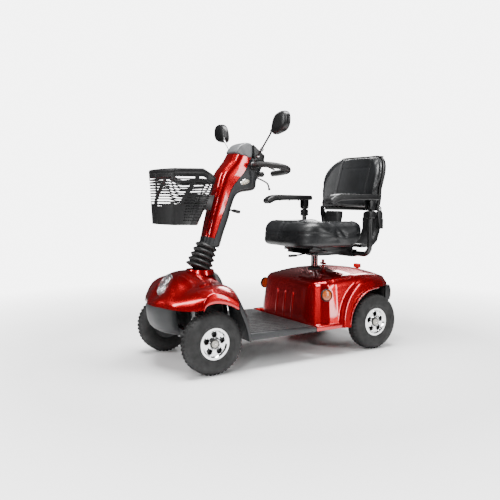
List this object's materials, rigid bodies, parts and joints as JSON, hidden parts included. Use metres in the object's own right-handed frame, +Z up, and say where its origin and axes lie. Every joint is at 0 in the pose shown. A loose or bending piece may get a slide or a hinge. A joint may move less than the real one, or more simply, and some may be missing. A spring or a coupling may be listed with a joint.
{
  "type": "mobility scooter",
  "caption": "Mobility scooter with a tilting tiller, handlebar loops, slotted basket, mirrors, flat deck, painted bodywork and a swivelling padded seat with arms on a post.",
  "frame": {"origin": "on the ground in the middle of the overall box", "axes": "+Z up, -Y the way it drives, +X the rider's left"},
  "size_m": [0.64, 1.2095, 1.0797],
  "materials": {
    "black_steel": "satin black powder coat",
    "battery_case": "matt",
    "bright_steel": "polished",
    "wheel_chrome": "polished chrome",
    "tyre": "black tread",
    "rubber": "matt black",
    "charcoal_plastic": "satin, fine grain",
    "grey_plastic": "satin",
    "silver_plastic": "satin silver",
    "black_plastic": "satin black",
    "red_paint": "glossy metallic red lacquer",
    "clear_lens": "clear faceted",
    "red_plastic": "gloss",
    "vinyl": "grained black vinyl"
  },
  "bodies": {
    "chassis": {"chassis_frame": "black_steel", "floor_pan": "charcoal_plastic", "deck_mat": "rubber", "front_hood": "red_paint", "headlight_lens": "clear_lens", "front_bumper": "grey_plastic", "mudguard_left": "charcoal_plastic", "mudguard_right": "charcoal_plastic", "column_cowl": "charcoal_plastic", "rear_shroud": "red_paint", "rear_bumper": "black_plastic", "battery_pack": "battery_case", "transaxle": "black_steel"},
    "steering": {"steering_column": "black_steel", "bellows": "rubber"},
    "knuckle_left": {"knuckle_left": "black_steel"},
    "knuckle_right": {"knuckle_right": "black_steel"},
    "tie_rod_left": {"tie_rod_left": "bright_steel"},
    "tie_rod_right": {"tie_rod_right": "bright_steel"},
    "wheel_front_left": {"tyre_front_left": "tyre", "rim_front_left": "wheel_chrome"},
    "wheel_front_right": {"tyre_front_right": "tyre", "rim_front_right": "wheel_chrome"},
    "wheel_rear_left": {"tyre_rear_left": "tyre", "rim_rear_left": "wheel_chrome"},
    "wheel_rear_right": {"tyre_rear_right": "tyre", "rim_rear_right": "wheel_chrome"},
    "tiller": {"tiller_stem": "black_steel", "tiller_shell": "red_paint", "tiller_rear_cover": "charcoal_plastic", "tiller_cap": "silver_plastic", "console_panel": "black_plastic", "handlebar_left": "rubber", "handlebar_right": "rubber", "basket_bracket": "black_steel"},
    "basket": {"basket": "black_plastic"},
    "brake_lever": {"brake_lever": "black_steel"},
    "throttle_paddle": {"throttle_paddle": "black_plastic"},
    "tilt_lever": {"tilt_lever": "black_plastic"},
    "speed_dial": {"speed_dial": "black_plastic"},
    "ignition_key": {"ignition_key": "bright_steel"},
    "horn_button": {"horn_button": "red_plastic"},
    "mirror_stalk_left": {"mirror_stalk_left": "bright_steel"},
    "mirror_stalk_right": {"mirror_stalk_right": "bright_steel"},
    "mirror_head_left": {"mirror_head_left": "black_plastic"},
    "mirror_head_right": {"mirror_head_right": "black_plastic"},
    "seat_post": {"seat_post": "black_steel"},
    "swivel": {"swivel_plate": "black_steel"},
    "seat": {"seat_frame": "black_steel", "seat_cushion": "vinyl", "arm_tube_left": "black_steel", "arm_tube_right": "black_steel"},
    "backrest": {"backrest_pad": "vinyl", "backrest_shell": "black_plastic"},
    "armrest_left": {"armrest_left": "black_plastic"},
    "armrest_right": {"armrest_right": "black_plastic"},
    "swivel_lever": {"swivel_lever": "black_steel"},
    "slide_lever": {"slide_lever": "black_steel"},
    "post_knob": {"post_knob": "red_plastic"},
    "freewheel_lever": {"freewheel_lever": "red_plastic"}
  },
  "joints": [
    {"name": "steer", "type": "hinge", "parent": "chassis", "child": "steering", "pos_m": [0, -0.36, 0.44], "axis": [0, 0, 1], "range_deg": [-30, 30]},
    {"name": "knuckle_turn_left", "type": "hinge", "parent": "chassis", "child": "knuckle_left", "pos_m": [0.18, -0.433, 0.13], "axis": [0, 0, 1], "range_deg": [-30, 30]},
    {"name": "knuckle_turn_right", "type": "hinge", "parent": "chassis", "child": "knuckle_right", "pos_m": [-0.18, -0.433, 0.13], "axis": [0, 0, 1], "range_deg": [-30, 30]},
    {"name": "tie_rod_pivot_left", "type": "hinge", "parent": "steering", "child": "tie_rod_left", "pos_m": [0, -0.31, 0.086], "axis": [0, 0, 1], "range_deg": [-30, 30]},
    {"name": "tie_rod_pivot_right", "type": "hinge", "parent": "steering", "child": "tie_rod_right", "pos_m": [0, -0.31, 0.074], "axis": [0, 0, 1], "range_deg": [-30, 30]},
    {"name": "wheel_spin_front_left", "type": "hinge", "parent": "knuckle_left", "child": "wheel_front_left", "pos_m": [0.2347, -0.433, 0.13], "axis": [1, 0, 0], "continuous": true},
    {"name": "wheel_spin_front_right", "type": "hinge", "parent": "knuckle_right", "child": "wheel_front_right", "pos_m": [-0.2347, -0.433, 0.13], "axis": [1, 0, 0], "continuous": true},
    {"name": "wheel_spin_rear_left", "type": "hinge", "parent": "chassis", "child": "wheel_rear_left", "pos_m": [0.2347, 0.433, 0.13], "axis": [1, 0, 0], "continuous": true},
    {"name": "wheel_spin_rear_right", "type": "hinge", "parent": "chassis", "child": "wheel_rear_right", "pos_m": [-0.2347, 0.433, 0.13], "axis": [1, 0, 0], "continuous": true},
    {"name": "tiller_tilt", "type": "hinge", "parent": "steering", "child": "tiller", "pos_m": [0, -0.35, 0.44], "axis": [-1, 0, 0], "range_deg": [-5, 20], "deforming": ["bellows"]},
    {"name": "basket_lift", "type": "slide", "parent": "tiller", "child": "basket", "axis": [0, 0.3482, 0.9374], "range_m": [0, 0.05]},
    {"name": "brake_pull", "type": "hinge", "parent": "tiller", "child": "brake_lever", "pos_m": [0.09, -0.132, 0.837], "axis": [-1, 0, 0], "range_deg": [0, 14], "stiffness_Nm_per_rad": 0.5},
    {"name": "throttle_push", "type": "hinge", "parent": "tiller", "child": "throttle_paddle", "pos_m": [0, -0.042, 0.864], "axis": [0, 0, 1], "range_deg": [-8, 8], "stiffness_Nm_per_rad": 0.6},
    {"name": "tilt_lever_lift", "type": "hinge", "parent": "tiller", "child": "tilt_lever", "pos_m": [0, -0.24, 0.663], "axis": [1, 0, 0], "range_deg": [0, 14], "stiffness_Nm_per_rad": 0.6},
    {"name": "speed_dial_turn", "type": "hinge", "parent": "tiller", "child": "speed_dial", "pos_m": [0, -0.0925, 0.93891], "axis": [0, 0.6122, 0.7907], "range_deg": [-135, 135]},
    {"name": "key_turn", "type": "hinge", "parent": "tiller", "child": "ignition_key", "pos_m": [0.034, -0.07431, 0.92483], "axis": [0, 0.6122, 0.7907], "range_deg": [-90, 0]},
    {"name": "horn_press", "type": "slide", "parent": "tiller", "child": "horn_button", "axis": [0, -0.6122, -0.7907], "range_m": [0, 0.002], "stiffness_N_per_m": 300},
    {"name": "mirror_swing_left", "type": "hinge", "parent": "tiller", "child": "mirror_stalk_left", "pos_m": [0.09, -0.1285, 0.885], "axis": [0, 0, 1], "range_deg": [-20, 20]},
    {"name": "mirror_swing_right", "type": "hinge", "parent": "tiller", "child": "mirror_stalk_right", "pos_m": [-0.09, -0.1285, 0.885], "axis": [0, 0, 1], "range_deg": [-20, 20]},
    {"name": "mirror_tilt_left", "type": "hinge", "parent": "mirror_stalk_left", "child": "mirror_head_left", "pos_m": [0.205, -0.1265, 0.999], "axis": [1, 0, 0], "range_deg": [-6, 6]},
    {"name": "mirror_tilt_right", "type": "hinge", "parent": "mirror_stalk_right", "child": "mirror_head_right", "pos_m": [-0.205, -0.1265, 0.999], "axis": [1, 0, 0], "range_deg": [-6, 6]},
    {"name": "seat_height", "type": "slide", "parent": "chassis", "child": "seat_post", "axis": [0, 0, 1], "range_m": [0, 0.05]},
    {"name": "seat_swivel", "type": "hinge", "parent": "seat_post", "child": "swivel", "pos_m": [0, 0.268, 0.441], "axis": [0, 0, -1], "range_deg": [-90, 90]},
    {"name": "seat_slide", "type": "slide", "parent": "swivel", "child": "seat", "axis": [0, 1, 0], "range_m": [-0.04, 0.04]},
    {"name": "backrest_fold", "type": "hinge", "parent": "seat", "child": "backrest", "pos_m": [0, 0.487, 0.668], "axis": [1, 0, 0], "range_deg": [0, 88]},
    {"name": "armrest_lift_left", "type": "hinge", "parent": "seat", "child": "armrest_left", "pos_m": [0.258, 0.395, 0.676], "axis": [-1, 0, 0], "range_deg": [0, 90]},
    {"name": "armrest_lift_right", "type": "hinge", "parent": "seat", "child": "armrest_right", "pos_m": [-0.258, 0.395, 0.676], "axis": [-1, 0, 0], "range_deg": [0, 90]},
    {"name": "swivel_lever_lift", "type": "hinge", "parent": "swivel", "child": "swivel_lever", "pos_m": [0.06, 0.205, 0.456], "axis": [-1, 0, 0], "range_deg": [0, 6], "stiffness_Nm_per_rad": 0.8},
    {"name": "slide_lever_pull", "type": "hinge", "parent": "seat", "child": "slide_lever", "pos_m": [0.127, 0.22, 0.4715], "axis": [0, 0, 1], "range_deg": [0, 10], "stiffness_Nm_per_rad": 0.5},
    {"name": "post_knob_turn", "type": "hinge", "parent": "chassis", "child": "post_knob", "pos_m": [0, 0.322, 0.393], "axis": [0, 0, 1], "range_deg": [0, 90]},
    {"name": "freewheel_flip", "type": "hinge", "parent": "chassis", "child": "freewheel_lever", "pos_m": [0.011, 0.537, 0.34], "axis": [1, 0, 0], "range_deg": [0, 12]}
  ],
  "couplings": [
    {"joint": "knuckle_turn_left", "follows": "steer", "ratio": 1},
    {"joint": "knuckle_turn_right", "follows": "steer", "ratio": 1},
    {"joint": "tie_rod_pivot_left", "follows": "steer", "ratio": -1},
    {"joint": "tie_rod_pivot_right", "follows": "steer", "ratio": -1}
  ]
}
